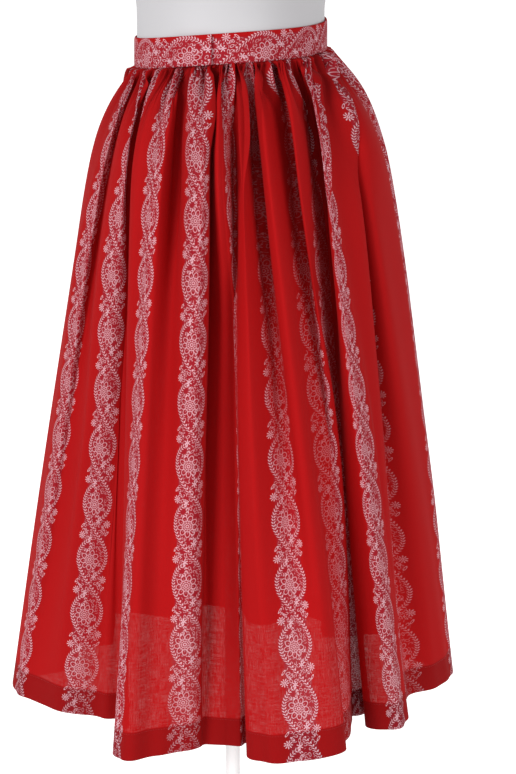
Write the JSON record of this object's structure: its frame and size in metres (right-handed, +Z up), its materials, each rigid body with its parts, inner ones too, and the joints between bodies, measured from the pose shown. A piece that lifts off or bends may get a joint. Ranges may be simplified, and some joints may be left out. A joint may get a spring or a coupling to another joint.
{
  "type": "gathered skirt on dress form",
  "caption": "Long gathered cotton skirt with vertical floral vine stripes and a waistband, on a plain limbless dress form with a slim pole and a round base.",
  "frame": {"origin": "on the floor, at the middle of the round base's underside, on the pole's upright axis", "axes": "+Z up; -Y the way the wearer would face; +X the wearer's left, where the waistband closes"},
  "size_m": [0.5115, 0.4779, 1.5223],
  "materials": {
    "skirt_cotton": "matt plain-weave cotton, slightly see-through where single, printed with pale vine stripes",
    "band_cotton": "matt printed cotton, folded double",
    "form_shell": "smooth matt pale grey",
    "form_cap": "smooth satin pale grey",
    "stand_metal": "white satin paint"
  },
  "bodies": {
    "root": {"skirt_front": "skirt_cotton", "skirt_back": "skirt_cotton", "waistband": "band_cotton", "form_torso": "form_shell", "form_neck_cap": "form_cap", "form_socket": "stand_metal", "stand_pole": "stand_metal", "stand_base": "stand_metal"}
  },
  "joints": []
}
